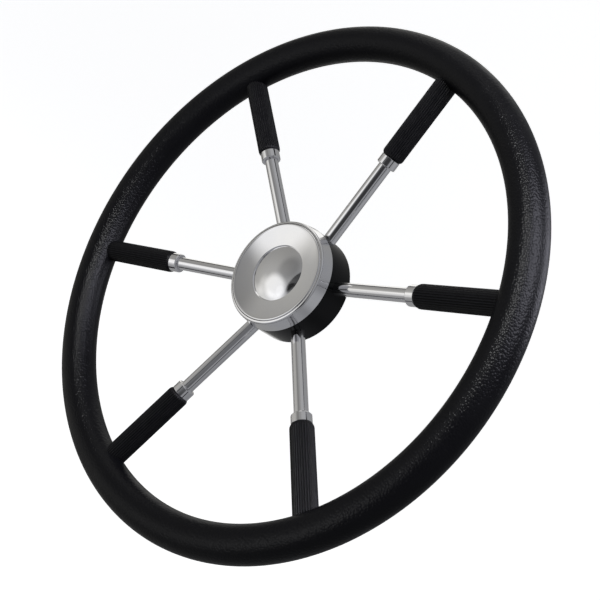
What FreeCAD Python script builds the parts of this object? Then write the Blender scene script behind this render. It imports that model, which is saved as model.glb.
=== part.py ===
import FreeCAD, Part
import math
import os

from FreeCAD import Vector

# Boat steering wheel with six raked spokes, in millimetres.
# The pieces are drawn lying on a bench: the shaft's axis is Z, the back of the hub boss is at
# height 0 and the driver's side is up. The finished wheel is then stood up on its edge, so that
# the driver's side faces -Y, the helm is at +Y and the first spoke and the keyway are on top.

# Rim: soft moulding over a steel ring
rim_outer_diameter = 400.0
rim_section_diameter = 25.8
rim_core_diameter = 10.0
rim_height = 42.0

# Spoke rods: welded into the hub core and coped onto the rim core
spoke_count = 6
rod_diameter = 10.0
rod_root_wall = 3.0
rod_setback_at_rim = 1.0
rod_cope_depth = 2.5

# Fluted sleeves on the outer part of the rods
sleeve_wall = 3.3
sleeve_inner_end_radius = 113.0
sleeve_nose_round = 3.5
sleeve_nose_land = 0.35
flute_count = 30
flute_depth = 0.55
flute_share_of_pitch = 0.6

# Ferrules: collars on the rods, each with a spigot inside its sleeve
ferrule_wall = 2.25
ferrule_length = 7.0
ferrule_chamfer = 0.7
ferrule_edge_round = 0.3
spigot_wall = 1.2
spigot_length = 5.0

# Hub core: turned steel boss and flange
boss_diameter = 38.0
boss_projection = 7.7
flange_diameter = 60.0
flange_thickness = 17.4
core_chamfer = 1.0
nut_recess_diameter = 30.0
nut_recess_depth = 4.0

# Bore for a 3/4 inch shaft end with a taper of 1 in 12 on its diameter, and its key
shaft_diameter = 19.05
taper_ratio = 12.0
bore_land_length = 5.0
bore_land_clearance = 0.125
key_width = 4.76
key_height_above_shaft = 2.4

# Hub body: black drum moulded over the core and the roots of the rods
body_wall = 10.95
body_depth = 24.8
body_back_wall = 3.0
body_back_round = 2.0

# Hub ring: polished bezel in front of the body
ring_height = 10.4
ring_taper = 1.8
ring_floor_thickness = 4.0
ring_floor_width = 15.0
ring_lip_wall = 1.85
ring_shoulder_round = 1.7
ring_back_round = 0.3

# Hub cap: dished disc with a rounded lip, a dome in a shallow recess and a skirt
cap_proud = 0.5
cap_sheet = 1.2
cap_skirt_wall = 2.6
cap_lip_width = 1.9
cap_lip_rise = 0.25
cap_lip_drop = 0.9
cap_dish_drop = 2.4
cap_dish_sag = 0.2
recess_diameter = 42.4
recess_depth = 0.8
recess_wall_width = 0.6
recess_edge_round = 0.3
dome_curve_radius = 58.0

# Rubber ring in a groove of the cap's skirt
oring_groove_depth = 1.3
oring_groove_height = 1.6

# Screws from the back through the body into the ring, one in every second gap between rods
gaps_per_screw = 2
screw_diameter = 4.0
screw_inset_from_flange = 5.0
screw_head_diameter = 7.0
screw_head_height = 4.0
screw_head_sink = 0.8
screw_hex_across_flats = 3.0
screw_hex_depth = 2.2
screw_hole_cover = 0.8
screw_tip_gap = 0.3

# Clearances, each on the radius
rod_clearance = 0.05
core_clearance = 0.05
cap_clearance = 0.15
oring_side_clearance = 0.125
screw_clearance = 0.25
screw_head_clearance = 0.4
thread_clearance = 0.05

# Radii worked out from the diameters
rim_section_radius = rim_section_diameter / 2
rim_core_radius = rim_core_diameter / 2
rim_circle_radius = rim_outer_diameter / 2 - rim_section_radius
rod_radius = rod_diameter / 2
rod_hole_radius = rod_radius + rod_clearance
sleeve_radius = rod_radius + sleeve_wall
ferrule_radius = rod_radius + ferrule_wall
spigot_radius = rod_radius + spigot_wall
boss_radius = boss_diameter / 2
flange_radius = flange_diameter / 2
nut_recess_radius = nut_recess_diameter / 2
shaft_radius = shaft_diameter / 2
rod_root_radius = nut_recess_radius + rod_root_wall
body_pocket_radius = flange_radius + core_clearance
body_radius = body_pocket_radius + body_wall
ring_front_radius = body_radius - ring_taper
ring_opening_radius = body_radius - ring_floor_width
cap_seat_radius = ring_front_radius - ring_lip_wall
cap_radius = cap_seat_radius - cap_clearance
recess_radius = recess_diameter / 2
oring_radius = (oring_groove_depth + cap_clearance) / 2
screw_radius = screw_diameter / 2
screw_head_radius = screw_head_diameter / 2
screw_circle_radius = flange_radius + screw_inset_from_flange

# Heights above the back of the boss
flange_back_height = boss_projection + body_back_wall
flange_front_height = flange_back_height + flange_thickness
nut_seat_height = flange_front_height - nut_recess_depth
body_front_height = boss_projection + body_depth
ring_floor_height = body_front_height + ring_floor_thickness
ring_front_height = body_front_height + ring_height
cap_top_height = ring_front_height + cap_proud
oring_groove_floor = ring_floor_height + oring_groove_height
oring_middle_height = oring_groove_floor + oring_side_clearance + oring_radius
screw_head_seat = boss_projection + screw_head_sink + screw_head_height
screw_hole_end = ring_floor_height - screw_hole_cover
screw_tip_height = screw_hole_end - screw_tip_gap

# Line of the rods, from the middle of the flange to just behind the middle of the rim
rod_root = Vector(rod_root_radius, 0, (flange_back_height + flange_front_height) / 2)
rod_tip = Vector(rim_circle_radius, 0, rim_height - rod_setback_at_rim)
rod_direction = (rod_tip - rod_root).normalize()
rod_rake = math.atan2(rod_direction.z, rod_direction.x)
rod_line_start = rod_root - rod_direction * (rod_root_radius / rod_direction.x)

axis_origin = Vector(0, 0, 0)
wheel_axis = Vector(0, 0, 1)
sideways = Vector(0, 1, 0)
top_of_wheel_deg = 90


def at(radius, height):
    return Vector(radius, 0, height)


def corner_arc(before, corner, after, radius):
    """Start, middle and end of the arc that rounds a corner of an outline."""
    back = (before - corner).normalize()
    onward = (after - corner).normalize()
    half_angle = back.getAngle(onward) / 2
    setback = radius / math.tan(half_angle)
    inward = (back + onward).normalize()
    centre = corner + inward * (radius / math.sin(half_angle))
    return corner + back * setback, centre - inward * radius, corner + onward * setback


def outline_edges(corners):
    """Edges of a closed outline. A corner is a point, or a point with the radius that rounds it."""
    points = [corner[0] if isinstance(corner, tuple) else corner for corner in corners]
    starts, arcs, ends = [], [], []
    for index, corner in enumerate(corners):
        if isinstance(corner, tuple):
            before = points[index - 1]
            after = points[(index + 1) % len(points)]
            start, middle, end = corner_arc(before, corner[0], after, corner[1])
            arcs.append(Part.Arc(start, middle, end).toShape())
        else:
            start = end = corner
            arcs.append(None)
        starts.append(start)
        ends.append(end)
    edges = []
    for index, arc in enumerate(arcs):
        if arc is not None:
            edges.append(arc)
        edges.append(Part.makeLine(ends[index], starts[(index + 1) % len(starts)]))
    return edges


def turned(edges):
    """Solid turned about the wheel's axis from the edges of a closed outline."""
    face = Part.Face(Part.Wire(edges))
    return face.revolve(axis_origin, wheel_axis, 360)


def along_rod(wheel_radius):
    """Distance along a rod's line, from the wheel's axis, of a place at this radius."""
    return wheel_radius / math.cos(rod_rake)


def onto_rod(shape):
    """Lay a shape drawn about Z on the first rod's line. Heights become distances along it."""
    shape.rotate(axis_origin, sideways, 90 - math.degrees(rod_rake))
    shape.translate(rod_line_start)
    return shape


def turned_copies(shape, gaps):
    """Copies of a shape, turned about the wheel's axis by these numbers of gaps between rods."""
    copies = []
    for gap in gaps:
        copy = shape.copy()
        copy.rotate(axis_origin, wheel_axis, gap * 360 / spoke_count)
        copies.append(copy)
    return copies


def on_every_spoke(shape):
    """Copies of a shape that was drawn on +X, with the first one at the top of the wheel."""
    first = shape.copy()
    first.rotate(axis_origin, wheel_axis, top_of_wheel_deg)
    return turned_copies(first, range(spoke_count))


def rim_torus(section_radius):
    ring = Part.makeTorus(rim_circle_radius, section_radius)
    ring.translate(at(0, rim_height))
    return ring


def rod_blank(radius):
    """Rod, or the hole for it, before its outer end is coped."""
    root = along_rod(rod_root_radius)
    tip = along_rod(rim_circle_radius - rod_cope_depth)
    return onto_rod(Part.makeCylinder(radius, tip - root, at(0, root)))


def rod_holes():
    return on_every_spoke(rod_blank(rod_hole_radius))


def make_rod():
    return rod_blank(rod_radius).cut(rim_torus(rim_core_radius))


def make_rim_grip():
    return rim_torus(rim_section_radius).cut([rim_torus(rim_core_radius)] + rod_holes())


def flute_outline():
    """Fluted section of a sleeve, as a wire about the Z axis."""
    pitch = 2 * math.pi / flute_count
    half_flute = pitch * flute_share_of_pitch / 2
    edges = []

    def on_circle(radius, angle):
        return Vector(radius * math.cos(angle), radius * math.sin(angle), 0)

    for index in range(flute_count):
        middle = index * pitch
        flute_start = on_circle(sleeve_radius, middle - half_flute)
        flute_floor = on_circle(sleeve_radius - flute_depth, middle)
        flute_end = on_circle(sleeve_radius, middle + half_flute)
        ridge_top = on_circle(sleeve_radius, middle + pitch / 2)
        next_flute = on_circle(sleeve_radius, middle + pitch - half_flute)
        edges.append(Part.Arc(flute_start, flute_floor, flute_end).toShape())
        edges.append(Part.Arc(flute_end, ridge_top, next_flute).toShape())
    return Part.Wire(edges)


def sleeve_envelope(inner_end, outer_end):
    """Sleeve without its flutes, about Z: a bore, a pocket for the spigot and a rounded nose."""
    pocket_radius = spigot_radius + rod_clearance
    pocket_end = inner_end + spigot_length
    nose_end_radius = pocket_radius + sleeve_nose_land
    round_centre_radius = sleeve_radius - sleeve_nose_round
    nose_angle = math.acos((nose_end_radius - round_centre_radius) / sleeve_nose_round)
    round_centre = at(round_centre_radius, inner_end + sleeve_nose_round * math.sin(nose_angle))

    def on_nose(angle):
        reach = at(math.cos(angle), -math.sin(angle))
        return round_centre + reach * sleeve_nose_round

    return turned(
        [
            Part.makeLine(at(pocket_radius, inner_end), on_nose(nose_angle)),
            Part.Arc(on_nose(nose_angle), on_nose(nose_angle / 2), on_nose(0)).toShape(),
            Part.makeLine(on_nose(0), at(sleeve_radius, outer_end)),
            Part.makeLine(at(sleeve_radius, outer_end), at(rod_hole_radius, outer_end)),
            Part.makeLine(at(rod_hole_radius, outer_end), at(rod_hole_radius, pocket_end)),
            Part.makeLine(at(rod_hole_radius, pocket_end), at(pocket_radius, pocket_end)),
            Part.makeLine(at(pocket_radius, pocket_end), at(pocket_radius, inner_end)),
        ]
    )


def make_sleeve():
    """Fluted sleeve with a rounded inner end, shaped to the rim at its outer end."""
    inner_end = along_rod(sleeve_inner_end_radius)
    outer_end = along_rod(rim_circle_radius)
    fluted = Part.Face(flute_outline()).extrude(at(0, outer_end - inner_end))
    fluted.translate(at(0, inner_end))
    sleeve = onto_rod(fluted.common(sleeve_envelope(inner_end, outer_end)))
    return sleeve.cut(rim_torus(rim_section_radius))


def make_ferrule():
    outer_end = along_rod(sleeve_inner_end_radius)
    inner_end = outer_end - ferrule_length
    spigot_end = outer_end + spigot_length
    return onto_rod(
        turned(
            outline_edges(
                [
                    at(rod_hole_radius, inner_end),
                    at(ferrule_radius - ferrule_chamfer, inner_end),
                    (at(ferrule_radius, inner_end + ferrule_chamfer), ferrule_edge_round),
                    (at(ferrule_radius, outer_end), ferrule_edge_round),
                    at(spigot_radius, outer_end),
                    at(spigot_radius, spigot_end),
                    at(rod_hole_radius, spigot_end),
                ]
            )
        )
    )


def taper_radius(height):
    """Radius of the tapered seat at a height above the back of the boss."""
    return shaft_radius - (height - bore_land_length) / taper_ratio / 2


def make_hub_core():
    """Boss and flange with the shaft bore, the nut's recess, the keyway and the rod sockets."""
    land_radius = shaft_radius + bore_land_clearance
    blank = turned(
        outline_edges(
            [
                at(land_radius, 0),
                at(boss_radius - core_chamfer, 0),
                at(boss_radius, core_chamfer),
                at(boss_radius, flange_back_height),
                at(flange_radius, flange_back_height),
                at(flange_radius, flange_front_height - core_chamfer),
                at(flange_radius - core_chamfer, flange_front_height),
                at(nut_recess_radius, flange_front_height),
                at(nut_recess_radius, nut_seat_height),
                at(taper_radius(nut_seat_height), nut_seat_height),
                at(shaft_radius, bore_land_length),
                at(land_radius, bore_land_length),
            ]
        )
    )
    keyway = Part.makeBox(
        key_width,
        shaft_radius + key_height_above_shaft,
        nut_seat_height,
        Vector(-key_width / 2, 0, 0),
    )
    return blank.cut([keyway] + rod_holes())


def at_screw(radius, from_height, to_height):
    """Cylinder on the line of the first screw."""
    place = at(screw_circle_radius, from_height)
    return Part.makeCylinder(radius, to_height - from_height, place)


def on_every_screw(shape):
    """Copies of a shape that was drawn on +X, each midway between two rods."""
    first = shape.copy()
    first.rotate(axis_origin, wheel_axis, top_of_wheel_deg)
    middles = [gap + 0.5 for gap in range(0, spoke_count, gaps_per_screw)]
    return turned_copies(first, middles)


def make_hub_body():
    """Drum with the core's pocket, the rod holes and the counterbored screw holes."""
    blank = turned(
        outline_edges(
            [
                at(boss_radius + core_clearance, boss_projection),
                (at(body_radius, boss_projection), body_back_round),
                at(body_radius, body_front_height),
                at(body_pocket_radius, body_front_height),
                at(body_pocket_radius, flange_back_height),
                at(boss_radius + core_clearance, flange_back_height),
            ]
        )
    )
    shank_hole = at_screw(screw_radius + screw_clearance, boss_projection, body_front_height)
    counterbore = at_screw(
        screw_head_radius + screw_head_clearance, boss_projection, screw_head_seat
    )
    return blank.cut(rod_holes() + on_every_screw(shank_hole.fuse(counterbore)))


def make_hub_ring():
    """Bezel that tapers forward to a rounded shoulder, with a floor for the cap and screws."""
    blank = turned(
        outline_edges(
            [
                at(ring_opening_radius, body_front_height),
                (at(body_radius, body_front_height), ring_back_round),
                (at(ring_front_radius, ring_front_height), ring_shoulder_round),
                at(cap_seat_radius, ring_front_height),
                at(cap_seat_radius, ring_floor_height),
                at(ring_opening_radius, ring_floor_height),
            ]
        )
    )
    screw_hole = at_screw(screw_radius + thread_clearance, body_front_height, screw_hole_end)
    return blank.cut(on_every_screw(screw_hole))


def cap_face_edges():
    """Edges of the cap's face from its centre outwards: a dome, the sloping wall of its recess
    with a rounded edge, a slightly concave dish, and the lip."""
    dome_radius = recess_radius - recess_wall_width
    dish_end_height = cap_top_height - cap_lip_rise
    recess_height = dish_end_height - cap_dish_drop - recess_depth
    dome_spread = math.asin(dome_radius / dome_curve_radius)
    dome_middle_height = recess_height - dome_curve_radius * math.cos(dome_spread)

    def on_dome(angle):
        return at(
            dome_curve_radius * math.sin(angle),
            dome_middle_height + dome_curve_radius * math.cos(angle),
        )

    dome_edge = on_dome(dome_spread)
    recess_edge = at(recess_radius, recess_height + recess_depth)
    dish_end = at(cap_radius - cap_lip_width, dish_end_height)
    dish_middle = (recess_edge + dish_end) * 0.5 - at(0, cap_dish_sag)
    round_start, round_middle, round_end = corner_arc(
        dome_edge, recess_edge, dish_middle, recess_edge_round
    )
    lip_top = at(cap_radius - cap_lip_width / 2, cap_top_height)
    lip_end = at(cap_radius, cap_top_height - cap_lip_drop)
    return [
        Part.Arc(on_dome(0), on_dome(dome_spread / 2), dome_edge).toShape(),
        Part.makeLine(dome_edge, round_start),
        Part.Arc(round_start, round_middle, round_end).toShape(),
        Part.Arc(round_end, dish_middle, dish_end).toShape(),
        Part.Arc(dish_end, lip_top, lip_end).toShape(),
    ]


def make_hub_cap():
    """Cap of even thickness with a skirt that stands on the ring's floor."""
    skirt_inner_radius = cap_radius - cap_skirt_wall
    face = cap_face_edges()
    corners = [
        face[-1].Vertexes[-1].Point,
        at(cap_radius, ring_floor_height),
        at(skirt_inner_radius, ring_floor_height),
        at(skirt_inner_radius, boss_projection),
        at(0, boss_projection),
        face[0].Vertexes[0].Point,
    ]
    sides = [Part.makeLine(start, end) for start, end in zip(corners, corners[1:])]
    blank = turned(face + sides)
    inside = blank.copy()
    inside.translate(at(0, -cap_sheet))
    inside = inside.common(Part.makeCylinder(skirt_inner_radius, cap_top_height))
    return blank.cut([inside, make_oring_groove()])


def make_oring_groove():
    groove_radius = cap_radius - oring_groove_depth
    groove_top = oring_middle_height + oring_radius + oring_side_clearance
    return turned(
        outline_edges(
            [
                at(groove_radius, oring_groove_floor),
                at(cap_seat_radius, oring_groove_floor),
                at(cap_seat_radius, groove_top),
                at(groove_radius, groove_top),
            ]
        )
    )


def make_cap_oring():
    """Rubber ring that reaches from the groove's floor to the ring's wall."""
    ring = Part.makeTorus(cap_seat_radius - oring_radius, oring_radius)
    ring.translate(at(0, oring_middle_height))
    return ring


def make_screw():
    """Socket-head screw, its head towards the back of the wheel."""
    head_back = screw_head_seat - screw_head_height
    head = at_screw(screw_head_radius, head_back, screw_head_seat)
    shank = at_screw(screw_radius, screw_head_seat, screw_tip_height)
    hex_circle = Vector(screw_hex_across_flats / math.sqrt(3), 0, 0)
    hex_corners = []
    for corner_deg in range(0, 361, 60):
        turn = FreeCAD.Rotation(wheel_axis, corner_deg)
        hex_corners.append(turn.multVec(hex_circle))
    socket = Part.Face(Part.makePolygon(hex_corners)).extrude(at(0, screw_hex_depth))
    socket.translate(at(screw_circle_radius, head_back))
    return head.fuse(shank).removeSplitter().cut(socket)


def export(name, shape):
    """Stand a piece up, driver's side to -Y, and write it."""
    upright = shape.copy()
    upright.rotate(axis_origin, Vector(1, 0, 0), 90)
    upright.exportStep("parts/" + name + ".step")


def export_set(name, shapes):
    for index, shape in enumerate(shapes):
        export(name + "_" + str(index + 1), shape)


os.makedirs("parts", exist_ok=True)
export("rim_grip", make_rim_grip())
export("rim_core", rim_torus(rim_core_radius))
export_set("spoke", on_every_spoke(make_rod()))
export_set("spoke_grip", on_every_spoke(make_sleeve()))
export_set("ferrule", on_every_spoke(make_ferrule()))
export("hub_core", make_hub_core())
export("hub_body", make_hub_body())
export("hub_ring", make_hub_ring())
export("hub_cap", make_hub_cap())
export("cap_oring", make_cap_oring())
export("ring_screws", Part.makeCompound(on_every_screw(make_screw())))
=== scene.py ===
import math

import bmesh
import bpy
from mathutils import Matrix, Vector


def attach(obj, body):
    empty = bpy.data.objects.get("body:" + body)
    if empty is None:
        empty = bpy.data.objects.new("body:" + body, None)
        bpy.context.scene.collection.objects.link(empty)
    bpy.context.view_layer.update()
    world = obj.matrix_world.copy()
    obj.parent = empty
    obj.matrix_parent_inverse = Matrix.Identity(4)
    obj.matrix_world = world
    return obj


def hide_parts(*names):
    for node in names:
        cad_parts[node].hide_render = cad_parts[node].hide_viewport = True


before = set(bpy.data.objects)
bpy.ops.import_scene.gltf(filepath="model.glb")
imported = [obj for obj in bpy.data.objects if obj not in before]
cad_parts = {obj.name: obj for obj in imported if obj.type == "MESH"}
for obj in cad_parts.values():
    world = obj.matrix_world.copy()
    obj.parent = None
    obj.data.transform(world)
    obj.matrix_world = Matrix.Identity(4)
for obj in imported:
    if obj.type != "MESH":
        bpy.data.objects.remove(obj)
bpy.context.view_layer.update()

# Boat steering wheel, in metres. The wheel's axis is Y, the driver's side faces -Y and the first
# spoke points up. A height is a distance from the back of the hub boss towards the driver.
MM = 0.001
TOWARDS_DRIVER = Vector((0, -1, 0))

# Rim
RIM_SECTION_RADIUS = 12.9 * MM
RIM_CIRCLE_RADIUS = 187.1 * MM
RIM_HEIGHT = 42 * MM
RIM_CORE_RADIUS = 5 * MM

# Rods, from the hub core to the rim core
SPOKE_COUNT = 6
TOP_OF_WHEEL_DEG = 90
ROD_RADIUS = 5 * MM
ROD_ROOT_RADIUS = 18 * MM
ROD_ROOT_HEIGHT = 19.4 * MM
ROD_TIP_HEIGHT = 41 * MM
ROD_COPE_DEPTH = 2.5 * MM
ROD_END_ROUND = 0.4 * MM
ROD_FIT = 0.05 * MM

# Fluted sleeves
SLEEVE_RADIUS = 8.3 * MM
SLEEVE_INNER_END = 113 * MM
SLEEVE_NOSE_ROUND = 3.5 * MM
SLEEVE_NOSE_LAND = 0.35 * MM
SLEEVE_SINK_IN_RIM = 0.15 * MM
NOSE_RINGS = 7
FLUTE_COUNT = 30
FLUTE_COLUMNS = 12
FLUTE_DEPTH = 0.55 * MM
FLUTE_SHARE_OF_PITCH = 0.72
FLUTE_FULLNESS = 0.7

# Ferrules
FERRULE_RADIUS = 7.25 * MM
FERRULE_LENGTH = 7 * MM
FERRULE_CHAMFER = 0.7 * MM
FERRULE_EDGE_ROUND = 0.2 * MM
SPIGOT_RADIUS = 6.2 * MM
SPIGOT_LENGTH = 5 * MM

# Hub: drum, bezel and dished cap
BOSS_RADIUS = 19.05 * MM
POCKET_RADIUS = 30.05 * MM
POCKET_HEIGHT = 10.7 * MM
DRUM_RADIUS = 41 * MM
DRUM_BACK_HEIGHT = 7.7 * MM
DRUM_FRONT_HEIGHT = 32.5 * MM
DRUM_BACK_ROUND = 2 * MM
DRUM_FRONT_ROUND = 0.3 * MM
BEZEL_FRONT_RADIUS = 39.2 * MM
BEZEL_FRONT_HEIGHT = 42.9 * MM
BEZEL_OPENING_RADIUS = 26 * MM
BEZEL_FLOOR_HEIGHT = 36.5 * MM
BEZEL_SHOULDER_ROUND = 1.43 * MM
BEZEL_BACK_ROUND = 0.3 * MM
CAP_SEAT_RADIUS = 37.35 * MM
CAP_RADIUS = 37.2 * MM
CAP_TOP_HEIGHT = 43.4 * MM
CAP_SHEET = 1.2 * MM
CAP_SKIRT_WALL = 2.6 * MM
CAP_GROOVE_RADIUS = 35.9 * MM
CAP_GROOVE_FLOOR = 38.1 * MM
CAP_GROOVE_TOP = 39.8 * MM
CAP_LIP_WIDTH = 1.9 * MM
CAP_LIP_RISE = 0.25 * MM
CAP_LIP_DROP = 0.9 * MM
CAP_DISH_DROP = 2.4 * MM
CAP_DISH_SAG = 0.2 * MM
RECESS_RADIUS = 21.2 * MM
RECESS_DEPTH = 0.8 * MM
RECESS_WALL_WIDTH = 0.6 * MM
RECESS_EDGE_ROUND = 0.2 * MM
DOME_CURVE_RADIUS = 58 * MM
DOME_POINTS = 24

# Socket-head screws in the back of the drum
SCREW_COUNT = 3
SCREW_CIRCLE_RADIUS = 35 * MM
SCREW_RADIUS = 2 * MM
SCREW_HEAD_RADIUS = 3.5 * MM
SCREW_HEAD_BACK = 8.5 * MM
SCREW_HEAD_SEAT = 12.5 * MM
SCREW_TIP_HEIGHT = 35.4 * MM
SCREW_SHANK_FIT = 0.25 * MM
SCREW_HEAD_FIT = 0.4 * MM
SCREW_HOLE_END = 35.7 * MM
SCREW_THREAD_FIT = 0.05 * MM
SCREW_KNURL_COUNT = 30
SCREW_KNURL_DEPTH = 0.12 * MM
SCREW_EDGE_ROUND = 0.4 * MM
HEX_RADIUS = 1.73 * MM
HEX_DEPTH = 2.2 * MM

# Fineness of the meshes
TURN_STEPS = 192
FERRULE_STEPS = 120
ROD_STEPS = 96
SCREW_STEPS = 60
ARC_POINTS = 10
ROUND_SEGMENTS = 4
WELD = 0.001 * MM
CUTTER_OVERLAP = 1 * MM

# Camera, as fitted to the photograph
CAMERA_PLACE = Vector((0.4463, -0.5179, 0.0787))
CAMERA_AZIMUTH_DEG = 39.17
CAMERA_ELEVATION_DEG = 4.25
CAMERA_ROLL_DEG = 42.1
CAMERA_LENS = 55.93
CAMERA_SHIFT_X = -0.0882
CAMERA_SHIFT_Y = -0.028

# Floor that sweeps up into a round wall
FLOOR_LEVEL = -0.62
FLOOR_RADIUS = 1.5
FLOOR_CORNERS = 96
FLOOR_GLOW = 0.74
SWEEP_RADIUS = 0.8
SWEEP_STEPS = 12
WALL_HEIGHT = 1.6

# Studio air. Its patches of light and shade each have an azimuth, an elevation, a half width and
# a half height in degrees, the softness of their edge and their strength.
AIR_LEVEL = 0.31
AIR_FLOOR = 0.02
AIR_PATCH_DEPTH = 1.5
AIR_WARM_COLOR = (1.0, 0.99, 0.95, 1)
AIR_COOL_COLOR = (0.93, 0.95, 1.0, 1)
AIR_PATCHES = {
    "left air": (-40, -25, 80, 50, 0.8, 0.15),
    "left back air": (-120, 30, 20, 35, 0.25, 0.8),
    "low air": (-50, -40, 65, 15, 0.6, 0.3),
    "back shade": (135, 5, 70, 45, 0.65, -0.1),
    "back air": (130, 5, 45, 25, 0.65, 0.15),
    "high air": (-5, 65, 65, 30, 0.5, 0.1),
    "window": (-27, -20, 25, 18, 0.5, 0.55),
    "window left": (-52, -25, 13, 13, 0.9, 0.25),
    "window right": (-15, -20, 8, 8, 0.3, 0.1),
    "window foot": (-10, -42, 10, 30, 0.55, 0.15),
    "upper left window": (-62, 38, 30, 15, 0.55, 0.8),
    "rear window": (-145, -18, 10, 10, 0.5, 0.85),
    "front shade": (-28, 8, 22, 20, 0.55, -0.1),
    "window edge shade": (-6, 4, 6, 23, 0.25, -0.25),
    "camera shade": (26, -8, 38, 16, 0.15, -0.15),
    "low camera shade": (32, -13, 36, 10, 0.3, -0.12),
}

# Soft boxes, each with an azimuth, an elevation, a distance, a width, a height, a radiance and a
# colour
SOFT_BOX_BLUE = (0.87, 0.87, 1)
SOFT_BOX_WHITE = (1, 1, 1)
SOFT_BOXES = {
    "high_softbox": (48, 50, 0.85, 0.6, 0.5, 12, SOFT_BOX_BLUE),
    "back_softbox": (137, 47, 0.7, 0.45, 0.4, 5.5, SOFT_BOX_BLUE),
    "front_softbox": (0, 24, 1.1, 0.24, 0.24, 46, SOFT_BOX_WHITE),
    "low_softbox": (4, -30, 1.25, 0.6, 0.6, 2, SOFT_BOX_WHITE),
}

rod_rise = (ROD_TIP_HEIGHT - ROD_ROOT_HEIGHT) / (RIM_CIRCLE_RADIUS - ROD_ROOT_RADIUS)
rod_rake = math.atan(rod_rise)
rod_line_start_height = ROD_ROOT_HEIGHT - ROD_ROOT_RADIUS * rod_rise


def along_rod(wheel_radius):
    """Distance along a rod's line, from the wheel's axis, of a place at this radius."""
    return wheel_radius / math.cos(rod_rake)


def spoke_direction(turn_deg):
    turn = math.radians(turn_deg)
    return Vector((math.cos(turn), 0, math.sin(turn)))


def spoke_place(number):
    """Matrix that lays a piece drawn about the wheel's axis on this spoke's rod."""
    turn_deg = TOP_OF_WHEEL_DEG + number * 360 / SPOKE_COUNT
    across = spoke_direction(turn_deg + 90)
    along = spoke_direction(turn_deg) * math.cos(rod_rake) + TOWARDS_DRIVER * math.sin(rod_rake)
    turned = Matrix((across, -along, across.cross(-along))).transposed().to_4x4()
    return Matrix.Translation(TOWARDS_DRIVER * rod_line_start_height) @ turned


def screw_place(number):
    """Matrix that moves a piece drawn about the wheel's axis to this screw."""
    turn_deg = TOP_OF_WHEEL_DEG + (number + 0.25) * 360 / SCREW_COUNT
    return Matrix.Translation(spoke_direction(turn_deg) * SCREW_CIRCLE_RADIUS)


# Modelling steps that several pieces share


def named_piece(name):
    """The primitive that was just added, with its name."""
    piece = bpy.context.object
    piece.name = name
    piece.data.name = name
    return piece


def make_active(piece):
    bpy.ops.object.select_all(action="DESELECT")
    piece.select_set(True)
    bpy.context.view_layer.objects.active = piece


def select_edges(piece, wanted):
    """In edit mode, select the edges for which wanted is true of both ends."""
    bpy.ops.mesh.select_mode(type="EDGE")
    bpy.ops.mesh.select_all(action="DESELECT")
    mesh = bmesh.from_edit_mesh(piece.data)
    for edge in mesh.edges:
        edge.select_set(all(wanted(corner.co) for corner in edge.verts))
    bmesh.update_edit_mesh(piece.data)


def radius_of(place):
    return math.hypot(place.x, place.z)


def apply_modifier(piece, kind, **settings):
    make_active(piece)
    bpy.ops.object.modifier_add(type=kind)
    modifier = piece.modifiers[-1]
    for setting, value in settings.items():
        setattr(modifier, setting, value)
    bpy.ops.object.modifier_apply(modifier=modifier.name)


def cut_away(piece, cutters):
    """Cut the cutters out of a piece, and remove them."""
    for cutter in cutters:
        apply_modifier(piece, "BOOLEAN", operation="DIFFERENCE", solver="EXACT", object=cutter)
        bpy.data.objects.remove(cutter)


def smooth(piece, sharp_deg=32):
    """Smooth shading that keeps sharp corners and leaves flats flat."""
    make_active(piece)
    bpy.ops.object.shade_smooth_by_angle(angle=math.radians(sharp_deg))
    apply_modifier(piece, "WEIGHTED_NORMAL", keep_sharp=True)


def turned_piece(name, outline, steps=TURN_STEPS):
    """Piece turned about the wheel's axis from a closed outline of (radius, height) points."""
    corners = [Vector((radius, -height, 0)) for radius, height in outline]
    bpy.ops.object.select_all(action="DESELECT")
    bpy.ops.mesh.primitive_plane_add(size=MM)
    piece = named_piece(name)
    bpy.ops.object.mode_set(mode="EDIT")
    bpy.ops.mesh.select_mode(type="VERT")
    bpy.ops.mesh.merge(type="CENTER")
    bpy.ops.transform.translate(value=corners[0])
    for start, end in zip(corners, corners[1:] + corners[:1]):
        bpy.ops.mesh.extrude_region_move(TRANSFORM_OT_translate={"value": end - start})
    bpy.ops.mesh.select_all(action="SELECT")
    bpy.ops.mesh.remove_doubles(threshold=WELD)
    bpy.ops.mesh.spin(steps=steps, angle=math.tau, center=(0, 0, 0), axis=(0, 1, 0))
    bpy.ops.mesh.select_all(action="SELECT")
    bpy.ops.mesh.remove_doubles(threshold=WELD)
    bpy.ops.mesh.normals_make_consistent(inside=False)
    bpy.ops.object.mode_set(mode="OBJECT")
    return piece


def round_corner(piece, radius, height, width):
    """Bevel the circle at this radius and height into a round."""
    make_active(piece)
    bpy.ops.object.mode_set(mode="EDIT")

    def on_circle(place):
        return abs(radius_of(place) - radius) < WELD and abs(place.y + height) < WELD

    select_edges(piece, on_circle)
    bpy.ops.mesh.bevel(offset=width, segments=ROUND_SEGMENTS, affect="EDGES")
    bpy.ops.object.mode_set(mode="OBJECT")


def torus_piece(name, circle_radius, section_radius, around, across):
    bpy.ops.object.select_all(action="DESELECT")
    bpy.ops.mesh.primitive_torus_add(
        major_radius=circle_radius,
        minor_radius=section_radius,
        major_segments=around,
        minor_segments=across,
        location=TOWARDS_DRIVER * RIM_HEIGHT,
        rotation=(math.radians(90), 0, 0),
    )
    piece = named_piece(name)
    bpy.ops.object.transform_apply(location=True, rotation=True, scale=True)
    return piece


def keep_drawn_place(piece):
    """Store where each corner was drawn, for patterns that follow the piece."""
    drawn = piece.data.attributes.new("drawn_place", "FLOAT_VECTOR", "POINT")
    for corner, place in zip(piece.data.vertices, drawn.data):
        place.vector = corner.co


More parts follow.
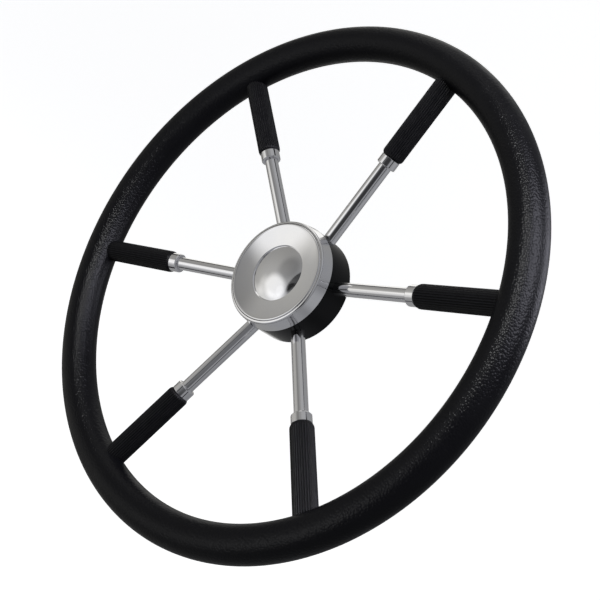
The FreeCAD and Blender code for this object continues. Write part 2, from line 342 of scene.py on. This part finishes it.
def placed_copy(pattern, name, place):
    """Copy of a finished piece, with a mesh of its own that holds its place."""
    mesh = pattern.data.copy()
    mesh.name = name
    mesh.transform(place)
    copy = bpy.data.objects.new(name, mesh)
    bpy.context.scene.collection.objects.link(copy)
    return copy


def copies_on_spokes(pattern, name):
    """A copy of the pattern on every spoke. The pattern is removed."""
    keep_drawn_place(pattern)
    copies = [
        placed_copy(pattern, name + "_" + str(number + 1), spoke_place(number))
        for number in range(SPOKE_COUNT)
    ]
    bpy.data.objects.remove(pattern)
    return copies


# Rim


def make_rim():
    rim = torus_piece("rim_moulding", RIM_CIRCLE_RADIUS, RIM_SECTION_RADIUS, 320, 72)
    smooth(rim)
    return rim


# Rods and ferrules


def bar(name, radius, from_height, to_height, steps):
    """Plain round bar about the wheel's axis."""
    outline = [(0, from_height), (radius, from_height), (radius, to_height), (0, to_height)]
    return turned_piece(name, outline, steps)


def make_rods():
    root = along_rod(ROD_ROOT_RADIUS)
    tip = along_rod(RIM_CIRCLE_RADIUS - ROD_COPE_DEPTH)
    rod = bar("polished_rod", ROD_RADIUS, root, tip, ROD_STEPS)
    round_corner(rod, ROD_RADIUS, root, ROD_END_ROUND)
    rods = copies_on_spokes(rod, "polished_rod")
    for rod in rods:
        cutter = torus_piece("core_cutter", RIM_CIRCLE_RADIUS, RIM_CORE_RADIUS, TURN_STEPS, 48)
        cut_away(rod, [cutter])
        smooth(rod)
    return rods


def make_ferrules():
    bore = ROD_RADIUS + ROD_FIT
    outer_end = along_rod(SLEEVE_INNER_END)
    inner_end = outer_end - FERRULE_LENGTH
    chamfer_end = inner_end + FERRULE_CHAMFER
    ferrule = turned_piece(
        "polished_ferrule",
        [
            (bore, inner_end),
            (FERRULE_RADIUS - FERRULE_CHAMFER, inner_end),
            (FERRULE_RADIUS, chamfer_end),
            (FERRULE_RADIUS, outer_end),
            (SPIGOT_RADIUS, outer_end),
            (SPIGOT_RADIUS, outer_end + SPIGOT_LENGTH),
            (bore, outer_end + SPIGOT_LENGTH),
        ],
        FERRULE_STEPS,
    )
    for radius, height in (
        (FERRULE_RADIUS - FERRULE_CHAMFER, inner_end),
        (FERRULE_RADIUS, chamfer_end),
        (FERRULE_RADIUS, outer_end),
        (bore, inner_end),
    ):
        round_corner(ferrule, radius, height, FERRULE_EDGE_ROUND)
    smooth(ferrule)
    return copies_on_spokes(ferrule, "polished_ferrule")


# Fluted sleeves


def scale_ring(piece, height, from_radius, to_radius):
    """In edit mode, bring the corners at this height and radius to another radius."""
    bpy.ops.mesh.select_mode(type="VERT")
    bpy.ops.mesh.select_all(action="DESELECT")
    mesh = bmesh.from_edit_mesh(piece.data)
    for corner in mesh.verts:
        at_height = abs(corner.co.y + height) < WELD
        corner.select_set(at_height and abs(radius_of(corner.co) - from_radius) < WELD)
    bmesh.update_edit_mesh(piece.data)
    scale = to_radius / from_radius
    bpy.ops.transform.resize(value=(scale, 1, scale), center_override=(0, -height, 0))


def flute_radii(radius, depth, columns, share, fullness):
    """Radius of each column of one flute's pitch, from the middle of the flute onwards."""
    radii = []
    for column in range(columns):
        offset = min(column, columns - column) / columns * 2 / share
        fall = (0.5 + 0.5 * math.cos(math.pi * min(offset, 1))) ** fullness
        radii.append(radius - depth * fall)
    return radii


def cut_flutes(piece, radius, radii, count):
    """In edit mode, sink the columns of a round bar to the radii of its flutes."""
    columns = len(radii)
    for column_radius in sorted(set(radii)):
        if radius - column_radius < WELD:
            continue
        bpy.ops.mesh.select_mode(type="VERT")
        bpy.ops.mesh.select_all(action="DESELECT")
        mesh = bmesh.from_edit_mesh(piece.data)
        for corner in mesh.verts:
            turn = math.atan2(corner.co.z, corner.co.x) % math.tau
            column = round(turn / math.tau * count * columns) % columns
            corner.select_set(abs(radii[column] - column_radius) < WELD)
        bmesh.update_edit_mesh(piece.data)
        scale = column_radius / radius
        bpy.ops.transform.resize(value=(scale, 1, scale), center_override=(0, 0, 0))


def extrude_ring(piece, from_height, to_height):
    """In edit mode, extrude the open ring at one height to another height."""

    def on_ring(place):
        return abs(place.y + from_height) < WELD

    select_edges(piece, on_ring)
    move = TOWARDS_DRIVER * (to_height - from_height)
    bpy.ops.mesh.extrude_region_move(TRANSFORM_OT_translate={"value": move})


def make_sleeves():
    """Fluted sleeve, drawn ring by ring from the rim inwards, with a nose where flutes fade."""
    outer_end = along_rod(RIM_CIRCLE_RADIUS)
    inner_end = along_rod(SLEEVE_INNER_END)
    pocket_radius = SPIGOT_RADIUS + ROD_FIT
    nose_centre_radius = SLEEVE_RADIUS - SLEEVE_NOSE_ROUND
    nose_end_radius = pocket_radius + SLEEVE_NOSE_LAND
    nose_angle = math.acos((nose_end_radius - nose_centre_radius) / SLEEVE_NOSE_ROUND)
    nose_start = inner_end + SLEEVE_NOSE_ROUND * math.sin(nose_angle)

    bpy.ops.object.select_all(action="DESELECT")
    bpy.ops.mesh.primitive_circle_add(
        vertices=FLUTE_COUNT * FLUTE_COLUMNS,
        radius=SLEEVE_RADIUS,
        location=TOWARDS_DRIVER * outer_end,
        rotation=(math.radians(90), 0, 0),
    )
    sleeve = named_piece("fluted_sleeve")
    bpy.ops.object.transform_apply(location=True, rotation=True, scale=True)
    bpy.ops.object.mode_set(mode="EDIT")
    radii = flute_radii(
        SLEEVE_RADIUS, FLUTE_DEPTH, FLUTE_COLUMNS, FLUTE_SHARE_OF_PITCH, FLUTE_FULLNESS
    )
    cut_flutes(sleeve, SLEEVE_RADIUS, radii, FLUTE_COUNT)
    extrude_ring(sleeve, outer_end, nose_start)
    present = sorted(set(round(radius, 9) for radius in radii))
    last_height = nose_start
    for ring in range(1, NOSE_RINGS + 1):
        angle = nose_angle * ring / NOSE_RINGS
        height = nose_start - SLEEVE_NOSE_ROUND * math.sin(angle)
        limit = nose_centre_radius + SLEEVE_NOSE_ROUND * math.cos(angle)
        extrude_ring(sleeve, last_height, height)
        for radius in present:
            if radius > limit:
                scale_ring(sleeve, height, radius, limit)
        present = sorted(set(min(radius, limit) for radius in present))
        last_height = height
    bpy.ops.object.mode_set(mode="OBJECT")
    sleeve_bore(sleeve, nose_end_radius, pocket_radius, inner_end, outer_end)
    rim = torus_piece(
        "rim_cutter", RIM_CIRCLE_RADIUS, RIM_SECTION_RADIUS - SLEEVE_SINK_IN_RIM, 320, 72
    )
    rim.data.transform(spoke_place(0).inverted())
    cut_away(sleeve, [rim])
    smooth(sleeve, 50)
    return copies_on_spokes(sleeve, "fluted_sleeve")


def sleeve_bore(sleeve, nose_end_radius, pocket_radius, inner_end, outer_end):
    """Close a sleeve with the spigot's pocket, the rod's hole and a flat outer end."""
    bore = ROD_RADIUS + ROD_FIT
    pocket_end = inner_end + SPIGOT_LENGTH
    make_active(sleeve)
    bpy.ops.object.mode_set(mode="EDIT")
    inside = [
        (nose_end_radius, inner_end, pocket_radius, inner_end),
        (pocket_radius, inner_end, pocket_radius, pocket_end),
        (pocket_radius, pocket_end, bore, pocket_end),
        (bore, pocket_end, bore, outer_end),
    ]
    for from_radius, from_height, to_radius, to_height in inside:

        def on_ring(place):
            same_radius = abs(radius_of(place) - from_radius) < WELD
            return same_radius and abs(place.y + from_height) < WELD

        select_edges(sleeve, on_ring)
        move = TOWARDS_DRIVER * (to_height - from_height)
        bpy.ops.mesh.extrude_region_move(TRANSFORM_OT_translate={"value": move})
        scale = to_radius / from_radius
        bpy.ops.transform.resize(value=(scale, 1, scale), center_override=(0, -to_height, 0))

    def at_outer_end(place):
        return abs(place.y + outer_end) < WELD

    select_edges(sleeve, at_outer_end)
    bpy.ops.mesh.bridge_edge_loops()
    bpy.ops.mesh.select_all(action="SELECT")
    bpy.ops.mesh.normals_make_consistent(inside=False)
    bpy.ops.object.mode_set(mode="OBJECT")


# Hub


def rod_cutters():
    """Bars that cut the rods' holes, one on each spoke."""
    root = along_rod(ROD_ROOT_RADIUS)
    tip = along_rod(DRUM_RADIUS) + CUTTER_OVERLAP
    cutter = bar("rod_cutter", ROD_RADIUS + ROD_FIT, root, tip, ROD_STEPS)
    return copies_on_spokes(cutter, "rod_cutter")


def screw_cutters(radius, from_height, to_height):
    cutter = bar("screw_cutter", radius, from_height, to_height, SCREW_STEPS)
    cutters = [
        placed_copy(cutter, "screw_cutter_" + str(number), screw_place(number))
        for number in range(SCREW_COUNT)
    ]
    bpy.data.objects.remove(cutter)
    return cutters


def make_drum():
    drum = turned_piece(
        "hub_drum",
        [
            (BOSS_RADIUS, DRUM_BACK_HEIGHT),
            (DRUM_RADIUS, DRUM_BACK_HEIGHT),
            (DRUM_RADIUS, DRUM_FRONT_HEIGHT),
            (POCKET_RADIUS, DRUM_FRONT_HEIGHT),
            (POCKET_RADIUS, POCKET_HEIGHT),
            (BOSS_RADIUS, POCKET_HEIGHT),
        ],
    )
    round_corner(drum, DRUM_RADIUS, DRUM_BACK_HEIGHT, DRUM_BACK_ROUND)
    round_corner(drum, DRUM_RADIUS, DRUM_FRONT_HEIGHT, DRUM_FRONT_ROUND)
    below = DRUM_BACK_HEIGHT - CUTTER_OVERLAP
    above = DRUM_FRONT_HEIGHT + CUTTER_OVERLAP
    cut_away(drum, rod_cutters())
    cut_away(drum, screw_cutters(SCREW_RADIUS + SCREW_SHANK_FIT, below, above))
    cut_away(drum, screw_cutters(SCREW_HEAD_RADIUS + SCREW_HEAD_FIT, below, SCREW_HEAD_SEAT))
    smooth(drum)
    return drum


def make_bezel():
    bezel = turned_piece(
        "hub_bezel",
        [
            (BEZEL_OPENING_RADIUS, DRUM_FRONT_HEIGHT),
            (DRUM_RADIUS, DRUM_FRONT_HEIGHT),
            (BEZEL_FRONT_RADIUS, BEZEL_FRONT_HEIGHT),
            (CAP_SEAT_RADIUS, BEZEL_FRONT_HEIGHT),
            (CAP_SEAT_RADIUS, BEZEL_FLOOR_HEIGHT),
            (BEZEL_OPENING_RADIUS, BEZEL_FLOOR_HEIGHT),
        ],
    )
    round_corner(bezel, BEZEL_FRONT_RADIUS, BEZEL_FRONT_HEIGHT, BEZEL_SHOULDER_ROUND)
    round_corner(bezel, DRUM_RADIUS, DRUM_FRONT_HEIGHT, BEZEL_BACK_ROUND)
    below = DRUM_FRONT_HEIGHT - CUTTER_OVERLAP
    cut_away(bezel, screw_cutters(SCREW_RADIUS + SCREW_THREAD_FIT, below, SCREW_HOLE_END))
    smooth(bezel)
    return bezel


def arc_points(start, through, end, count):
    """Points along the arc from start to end by way of a third point, without the start."""
    (x1, y1), (x2, y2), (x3, y3) = start, through, end
    spread = 2 * (x1 * (y2 - y3) + x2 * (y3 - y1) + x3 * (y1 - y2))
    square1, square2, square3 = x1 * x1 + y1 * y1, x2 * x2 + y2 * y2, x3 * x3 + y3 * y3
    centre_x = (square1 * (y2 - y3) + square2 * (y3 - y1) + square3 * (y1 - y2)) / spread
    centre_y = (square1 * (x3 - x2) + square2 * (x1 - x3) + square3 * (x2 - x1)) / spread
    radius = math.hypot(x1 - centre_x, y1 - centre_y)
    first = math.atan2(y1 - centre_y, x1 - centre_x)
    last = math.atan2(y3 - centre_y, x3 - centre_x)
    sweep = (last - first + math.pi) % math.tau - math.pi
    angles = [first + sweep * step / count for step in range(1, count + 1)]
    return [
        (centre_x + radius * math.cos(angle), centre_y + radius * math.sin(angle))
        for angle in angles
    ]


def cap_face():
    """Outline of the cap's face from its centre outwards: dome, wall of its recess, dish and lip."""
    dome_radius = RECESS_RADIUS - RECESS_WALL_WIDTH
    dish_end_height = CAP_TOP_HEIGHT - CAP_LIP_RISE
    recess_height = dish_end_height - CAP_DISH_DROP - RECESS_DEPTH
    spread = math.asin(dome_radius / DOME_CURVE_RADIUS)
    middle_height = recess_height - DOME_CURVE_RADIUS * math.cos(spread)
    dome = [
        (
            DOME_CURVE_RADIUS * math.sin(spread * step / DOME_POINTS),
            middle_height + DOME_CURVE_RADIUS * math.cos(spread * step / DOME_POINTS),
        )
        for step in range(DOME_POINTS + 1)
    ]
    recess_edge = (RECESS_RADIUS, recess_height + RECESS_DEPTH)
    dish_end = (CAP_RADIUS - CAP_LIP_WIDTH, dish_end_height)
    dish_middle = (
        (recess_edge[0] + dish_end[0]) / 2,
        (recess_edge[1] + dish_end[1]) / 2 - CAP_DISH_SAG,
    )
    lip_top = (CAP_RADIUS - CAP_LIP_WIDTH / 2, CAP_TOP_HEIGHT)
    lip_end = (CAP_RADIUS, CAP_TOP_HEIGHT - CAP_LIP_DROP)
    dish = arc_points(recess_edge, dish_middle, dish_end, ARC_POINTS)
    lip = arc_points(dish_end, lip_top, lip_end, ARC_POINTS)
    return dome + [recess_edge] + dish + lip


def make_cap():
    face = cap_face()
    skirt_inner_radius = CAP_RADIUS - CAP_SKIRT_WALL
    under_face = [
        (radius, height - CAP_SHEET) for radius, height in face if radius < skirt_inner_radius
    ]
    skirt = [
        (CAP_RADIUS, CAP_GROOVE_TOP),
        (CAP_GROOVE_RADIUS, CAP_GROOVE_TOP),
        (CAP_GROOVE_RADIUS, CAP_GROOVE_FLOOR),
        (CAP_RADIUS, CAP_GROOVE_FLOOR),
        (CAP_RADIUS, BEZEL_FLOOR_HEIGHT),
        (skirt_inner_radius, BEZEL_FLOOR_HEIGHT),
        (skirt_inner_radius, under_face[-1][1]),
    ]
    cap = turned_piece("dished_cap", face + skirt + under_face[::-1])
    recess_edge_height = CAP_TOP_HEIGHT - CAP_LIP_RISE - CAP_DISH_DROP
    round_corner(cap, RECESS_RADIUS, recess_edge_height, RECESS_EDGE_ROUND)
    smooth(cap)
    return cap


# Screws


def make_screws():
    """Socket-head screw with a knurled head, drawn about the wheel's axis and copied."""
    head = SCREW_HEAD_RADIUS
    columns = SCREW_STEPS // SCREW_KNURL_COUNT
    screw = turned_piece(
        "socket_screw",
        [
            (0, SCREW_HEAD_BACK),
            (head, SCREW_HEAD_BACK),
            (head, SCREW_HEAD_SEAT),
            (SCREW_RADIUS, SCREW_HEAD_SEAT),
            (SCREW_RADIUS, SCREW_TIP_HEIGHT),
            (0, SCREW_TIP_HEIGHT),
        ],
        SCREW_STEPS,
    )
    round_corner(screw, head, SCREW_HEAD_BACK, SCREW_EDGE_ROUND)
    make_active(screw)
    bpy.ops.object.mode_set(mode="EDIT")
    bpy.ops.mesh.select_mode(type="VERT")
    bpy.ops.mesh.select_all(action="DESELECT")
    mesh = bmesh.from_edit_mesh(screw.data)
    for corner in mesh.verts:
        turn = math.atan2(corner.co.z, corner.co.x) % math.tau
        in_groove = round(turn / math.tau * SCREW_STEPS) % columns == 0
        corner.select_set(in_groove and abs(radius_of(corner.co) - head) < WELD)
    bmesh.update_edit_mesh(screw.data)
    scale = 1 - SCREW_KNURL_DEPTH / head
    bpy.ops.transform.resize(value=(scale, 1, scale), center_override=(0, 0, 0))
    bpy.ops.object.mode_set(mode="OBJECT")
    socket_end = SCREW_HEAD_BACK + HEX_DEPTH
    socket = bar("socket_cutter", HEX_RADIUS, SCREW_HEAD_BACK - CUTTER_OVERLAP, socket_end, 6)
    cut_away(screw, [socket])
    smooth(screw, 25)
    keep_drawn_place(screw)
    screws = [
        placed_copy(screw, "socket_screw_" + str(number + 1), screw_place(number))
        for number in range(SCREW_COUNT)
    ]
    bpy.data.objects.remove(screw)
    return screws


# Finishes


def new_finish(name, color, roughness, **sockets):
    """Material with its shader's even values, and a helper that adds nodes to it."""
    material = bpy.data.materials.new(name)
    material.use_nodes = True
    tree = material.node_tree
    shader = tree.nodes["Principled BSDF"]
    shader.inputs["Base Color"].default_value = (*color, 1)
    shader.inputs["Roughness"].default_value = roughness
    for socket, value in sockets.items():
        shader.inputs[socket.replace("_", " ")].default_value = value

    def add(kind, links=(), **values):
        node = tree.nodes.new(kind)
        for key, value in values.items():
            if key in node.inputs:
                node.inputs[key].default_value = value
            else:
                setattr(node, key, value)
        for source, target in links:
            tree.links.new(source, node.inputs[target])
        return node

    return material, shader, add


def spread_between(add, source, low, high, from_low=0.3, from_high=0.7):
    """Map a pattern that lies around the middle of 0 to 1 onto a range."""
    spread = add("ShaderNodeMapRange", [(source, "Value")])
    spread.inputs["From Min"].default_value = from_low
    spread.inputs["From Max"].default_value = from_high
    spread.inputs["To Min"].default_value = low
    spread.inputs["To Max"].default_value = high
    return spread.outputs["Result"]


def join(material, source, target):
    material.node_tree.links.new(source, target)


def rim_skin_finish():
    """Black soft moulding: a matt skin under a thin polish. The polish lies on small domes, and
    each of them glints at one spot."""
    material, shader, add = new_finish(
        "grained_black_skin",
        (0.0015, 0.0015, 0.002),
        0.42,
        Specular_IOR_Level=0.055,
        Coat_Weight=0.11,
        Coat_Roughness=0.13,
    )
    place = add("ShaderNodeTexCoord").outputs["Object"]
    cells = add("ShaderNodeTexVoronoi", [(place, "Vector")], feature="F1", Scale=680)
    off_middle = cells.outputs["Distance"]
    domes = add("ShaderNodeMath", [(off_middle, 0), (off_middle, 1)], operation="MULTIPLY")
    cloud = add("ShaderNodeTexNoise", [(place, "Vector")], Scale=70, Detail=3)
    for target, height in (("Normal", 0.1), ("Coat Normal", 0.3)):
        grain = add("ShaderNodeBump", [(domes.outputs["Value"], "Height")], invert=True)
        grain.inputs["Strength"].default_value = 1
        grain.inputs["Distance"].default_value = height * MM
        join(material, grain.outputs["Normal"], shader.inputs[target])
    rough = spread_between(add, cloud.outputs["Fac"], 0.36, 0.48)
    join(material, rough, shader.inputs["Roughness"])
    return material


def sleeve_finish():
    """Moulded matt black rubber with a soft mottling and a fine grain."""
    material, shader, add = new_finish(
        "fluted_black_rubber", (0.0015, 0.0015, 0.002), 0.4, Specular_IOR_Level=0.12
    )
    place = add("ShaderNodeAttribute", attribute_name="drawn_place").outputs["Vector"]
    cloud = add("ShaderNodeTexNoise", [(place, "Vector")], Scale=180, Detail=4)
    fine = add("ShaderNodeTexNoise", [(place, "Vector")], Scale=2500, Detail=2)
    rough = spread_between(add, cloud.outputs["Fac"], 0.36, 0.54)
    join(material, rough, shader.inputs["Roughness"])
    bump = add("ShaderNodeBump", [(fine.outputs["Fac"], "Height")], Strength=0.3)
    bump.inputs["Distance"].default_value = 0.05 * MM
    join(material, bump.outputs["Normal"], shader.inputs["Normal"])
    return material


def steel_finish(name, pattern, roughness, streak_scale, mark_strength=0.08, as_drawn=False):
    """Polished stainless steel. Its fine marks are rings round the wheel's axis, or streaks
    along it. Pieces that were drawn there and then copied follow the place they were drawn in."""
    material, shader, add = new_finish(name, (0.84, 0.84, 0.85), roughness, Metallic=1.0)
    if as_drawn:
        place = add("ShaderNodeAttribute", attribute_name="drawn_place").outputs["Vector"]
    else:
        place = add("ShaderNodeTexCoord").outputs["Object"]
    parts = add("ShaderNodeSeparateXYZ", [(place, "Vector")])
    flat = add("ShaderNodeCombineXYZ", [(parts.outputs["X"], "X"), (parts.outputs["Z"], "Y")])
    if pattern == "rings":
        spot = add("ShaderNodeVectorMath", [(flat.outputs["Vector"], 0)], operation="LENGTH")
        streak_place = spot.outputs["Value"]
    else:
        spot = add("ShaderNodeVectorMath", [(flat.outputs["Vector"], 0)], operation="NORMALIZE")
        streak_place = spot.outputs["Vector"]
    streak = add("ShaderNodeTexNoise", [(streak_place, "Vector")], Scale=streak_scale, Detail=4)
    cloud = add("ShaderNodeTexNoise", [(place, "Vector")], Scale=60, Detail=2)
    rough = spread_between(add, streak.outputs["Fac"], roughness * 0.7, roughness * 1.5)
    join(material, rough, shader.inputs["Roughness"])
    tint = add("ShaderNodeMix", [(cloud.outputs["Fac"], "Factor")], data_type="RGBA")
    tint.inputs["A"].default_value = (0.8, 0.8, 0.83, 1)
    tint.inputs["B"].default_value = (0.88, 0.87, 0.86, 1)
    join(material, tint.outputs["Result"], shader.inputs["Base Color"])
    marks = add("ShaderNodeBump", [(streak.outputs["Fac"], "Height")], Strength=mark_strength)
    marks.inputs["Distance"].default_value = 0.02 * MM
    join(material, marks.outputs["Normal"], shader.inputs["Normal"])
    return material


def drum_finish():
    """Glossy black plastic with a faint orange-peel."""
    material, shader, add = new_finish(
        "glossy_black_plastic", (0.002, 0.002, 0.0025), 0.14, Specular_IOR_Level=0.12
    )
    place = add("ShaderNodeTexCoord").outputs["Object"]
    peel = add("ShaderNodeTexNoise", [(place, "Vector")], Scale=320, Detail=2)
    scuff = add("ShaderNodeTexNoise", [(place, "Vector")], Scale=90, Detail=6)
    bump = add("ShaderNodeBump", [(peel.outputs["Fac"], "Height")], Strength=0.12)
    bump.inputs["Distance"].default_value = 0.05 * MM
    join(material, bump.outputs["Normal"], shader.inputs["Normal"])
    rough = spread_between(add, scuff.outputs["Fac"], 0.11, 0.24)
    join(material, rough, shader.inputs["Roughness"])
    return material


def seal_finish():
    material, shader, add = new_finish("black_seal_rubber", (0.02, 0.02, 0.02), 0.6)
    place = add("ShaderNodeTexCoord").outputs["Object"]
    cloud = add("ShaderNodeTexNoise", [(place, "Vector")], Scale=900, Detail=3)
    rough = spread_between(add, cloud.outputs["Fac"], 0.5, 0.7)
    join(material, rough, shader.inputs["Roughness"])
    return material


# Stage, lights and camera


def make_camera():
    azimuth = math.radians(CAMERA_AZIMUTH_DEG)
    elevation = math.radians(CAMERA_ELEVATION_DEG)
    roll = math.radians(CAMERA_ROLL_DEG)
    level = Vector((math.cos(azimuth), math.sin(azimuth), 0))
    back = Vector(
        (
            math.sin(azimuth) * math.cos(elevation),
            -math.cos(azimuth) * math.cos(elevation),
            math.sin(elevation),
        )
    )
    upright = back.cross(level)
    right = level * math.cos(roll) + upright * math.sin(roll)
    data = bpy.data.cameras.new("camera")
    data.lens = CAMERA_LENS
    data.shift_x = CAMERA_SHIFT_X
    data.shift_y = CAMERA_SHIFT_Y
    camera = bpy.data.objects.new("camera", data)
    bpy.context.scene.collection.objects.link(camera)
    camera.matrix_world = Matrix.LocRotScale(
        CAMERA_PLACE, Matrix((right, back.cross(right), back)).transposed(), None
    )
    bpy.context.scene.camera = camera


def make_floor():
    """Pale floor that sweeps up into a round wall, drawn about Z."""
    bpy.ops.object.select_all(action="DESELECT")
    bpy.ops.mesh.primitive_circle_add(
        vertices=FLOOR_CORNERS, radius=FLOOR_RADIUS, fill_type="NGON", location=(0, 0, FLOOR_LEVEL)
    )
    floor = named_piece("floor")
    bpy.ops.object.transform_apply(location=True, rotation=True, scale=True)
    bpy.ops.object.mode_set(mode="EDIT")
    bpy.ops.mesh.select_mode(type="EDGE")
    radius, level = FLOOR_RADIUS, FLOOR_LEVEL
    heights = []
    for step in range(1, SWEEP_STEPS + 1):
        angle = math.radians(90) * step / SWEEP_STEPS
        heights.append(
            (
                FLOOR_RADIUS + SWEEP_RADIUS * math.sin(angle),
                FLOOR_LEVEL + SWEEP_RADIUS * (1 - math.cos(angle)),
            )
        )
    heights.append((heights[-1][0], heights[-1][1] + WALL_HEIGHT))
    for next_radius, next_level in heights:
        rise = (0, 0, next_level - level)
        bpy.ops.mesh.extrude_region_move(TRANSFORM_OT_translate={"value": rise})
        scale = next_radius / radius
        bpy.ops.transform.resize(value=(scale, scale, 1), center_override=(0, 0, next_level))
        radius, level = next_radius, next_level
    bpy.ops.mesh.select_all(action="SELECT")
    bpy.ops.mesh.normals_make_consistent(inside=True)
    bpy.ops.object.mode_set(mode="OBJECT")
    bpy.ops.object.shade_smooth()
    material, shader, _ = new_finish("pale_studio_paper", (0.85, 0.85, 0.85), 0.9)
    shader.inputs["Emission Color"].default_value = (1, 1, 1, 1)
    shader.inputs["Emission Strength"].default_value = FLOOR_GLOW
    floor.data.materials.append(material)
    floor.visible_glossy = False
    floor.visible_diffuse = False
    floor.visible_shadow = False


def towards(azimuth_deg, elevation_deg):
    """Direction from the wheel. Azimuth 0 is in front of the driver's side, 90 is towards +X."""
    azimuth, elevation = math.radians(azimuth_deg), math.radians(elevation_deg)
    level = math.cos(elevation)
    return Vector((math.sin(azimuth) * level, -math.cos(azimuth) * level, math.sin(elevation)))


def soft_patch(tree, source, azimuth, elevation, half_width, half_height, softness, strength):
    """Soft oval patch of light, or of shade, seen in one direction. Its size is in degrees."""
    ahead = towards(azimuth, elevation)
    right = towards(azimuth + 90, 0)
    mapping = tree.nodes.new("ShaderNodeMapping")
    mapping.vector_type = "TEXTURE"
    mapping.inputs["Location"].default_value = ahead
    facing = Matrix((right, ahead, right.cross(ahead))).transposed()
    mapping.inputs["Rotation"].default_value = facing.to_euler()
    mapping.inputs["Scale"].default_value = (
        math.sin(math.radians(half_width)),
        AIR_PATCH_DEPTH,
        math.sin(math.radians(half_height)),
    )
    fall = tree.nodes.new("ShaderNodeTexGradient")
    fall.gradient_type = "SPHERICAL"
    edge = tree.nodes.new("ShaderNodeMapRange")
    edge.interpolation_type = "SMOOTHSTEP"
    edge.inputs["From Max"].default_value = softness
    edge.inputs["To Max"].default_value = strength
    tree.links.new(source, mapping.inputs["Vector"])
    tree.links.new(mapping.outputs["Vector"], fall.inputs["Vector"])
    tree.links.new(fall.outputs["Fac"], edge.inputs["Value"])
    return edge.outputs["Result"]


def math_result(tree, operation, *values):
    """Output of a math node whose inputs are other outputs or plain numbers."""
    node = tree.nodes.new("ShaderNodeMath")
    node.operation = operation
    for value, target in zip(values, node.inputs):
        if isinstance(value, bpy.types.NodeSocket):
            tree.links.new(value, target)
        else:
            target.default_value = value
    return node.outputs["Value"]


def make_world():
    """Even studio air with soft patches of light and shade, warmer on the left."""
    world = bpy.data.worlds.new("studio_air")
    bpy.context.scene.world = world
    world.use_nodes = True
    tree = world.node_tree
    background = tree.nodes["Background"]
    direction = tree.nodes.new("ShaderNodeTexCoord").outputs["Generated"]
    level = AIR_LEVEL
    for patch in AIR_PATCHES.values():
        level = math_result(tree, "ADD", level, soft_patch(tree, direction, *patch))
    level = math_result(tree, "MAXIMUM", level, AIR_FLOOR)
    tree.links.new(level, background.inputs["Strength"])
    parts = tree.nodes.new("ShaderNodeSeparateXYZ")
    tone = tree.nodes.new("ShaderNodeMix")
    tone.data_type = "RGBA"
    tone.inputs["A"].default_value = AIR_WARM_COLOR
    tone.inputs["B"].default_value = AIR_COOL_COLOR
    across = tree.nodes.new("ShaderNodeMapRange")
    across.inputs["From Min"].default_value = -0.8
    across.inputs["From Max"].default_value = 0.2
    tree.links.new(direction, parts.inputs["Vector"])
    tree.links.new(parts.outputs["X"], across.inputs["Value"])
    tree.links.new(across.outputs["Result"], tone.inputs["Factor"])
    tree.links.new(tone.outputs["Result"], background.inputs["Color"])


def aim_at_wheel(thing, azimuth_deg, elevation_deg, distance):
    direction = towards(azimuth_deg, elevation_deg)
    thing.location = direction * distance
    thing.rotation_euler = (-direction).to_track_quat("-Z", "Y").to_euler()


def soft_box(name, azimuth_deg, elevation_deg, distance, width, height, radiance, color):
    """Flat soft light that faces the wheel."""
    data = bpy.data.lights.new(name, "AREA")
    data.shape = "RECTANGLE"
    data.size = width
    data.size_y = height
    data.energy = radiance * math.pi * width * height
    data.color = color
    light = bpy.data.objects.new(name, data)
    bpy.context.scene.collection.objects.link(light)
    aim_at_wheel(light, azimuth_deg, elevation_deg, distance)
    light.visible_camera = False
    return light


def make_lights(receivers):
    """Soft boxes that fall on the receivers alone, as if flagged off from the other pieces."""
    for name, values in SOFT_BOXES.items():
        light = soft_box(name, *values)
        group = bpy.data.collections.new(name + "_receivers")
        for piece in receivers:
            group.objects.link(piece)
        light.light_linking.receiver_collection = group


def dress(pieces, material, nodes):
    """Give pieces their finish, hang them on the root body and hide the nodes they stand for."""
    for piece, node in zip(pieces, nodes):
        piece.data.materials.clear()
        piece.data.materials.append(material)
        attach(piece, "root")
        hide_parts(node)


def numbered(name):
    return [name + "_" + str(number + 1) for number in range(SPOKE_COUNT)]


def dress_node(node, material):
    """Give a kept node a better finish."""
    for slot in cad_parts[node].material_slots:
        slot.material = material


rod_steel = steel_finish("polished_rod_steel", "streaks", 0.07, 9, as_drawn=True)
hub_steel = steel_finish("polished_hub_steel", "streaks", 0.12, 60, 0.35)
cap_steel = steel_finish("polished_cap_steel", "rings", 0.07, 900)
turned_steel = steel_finish("turned_core_steel", "rings", 0.28, 4000)
screw_steel = steel_finish("turned_screw_steel", "rings", 0.2, 4000, as_drawn=True)
rim_skin = rim_skin_finish()
sleeve_rubber = sleeve_finish()

rim = make_rim()
dress([rim], rim_skin, ["rim_grip"])
dress(make_rods(), rod_steel, numbered("spoke"))
dress(make_ferrules(), rod_steel, numbered("ferrule"))
sleeves = make_sleeves()
dress(sleeves, sleeve_rubber, numbered("spoke_grip"))
dress([make_drum()], drum_finish(), ["hub_body"])
dress([make_bezel()], hub_steel, ["hub_ring"])
dress([make_cap()], cap_steel, ["hub_cap"])
dress(make_screws(), screw_steel, ["ring_screws"] * SCREW_COUNT)
dress_node("hub_core", turned_steel)
dress_node("rim_core", turned_steel)
dress_node("cap_oring", seal_finish())

make_floor()
make_world()
make_lights([rim, *sleeves])
make_camera()
bpy.context.scene.view_settings.view_transform = "Standard"
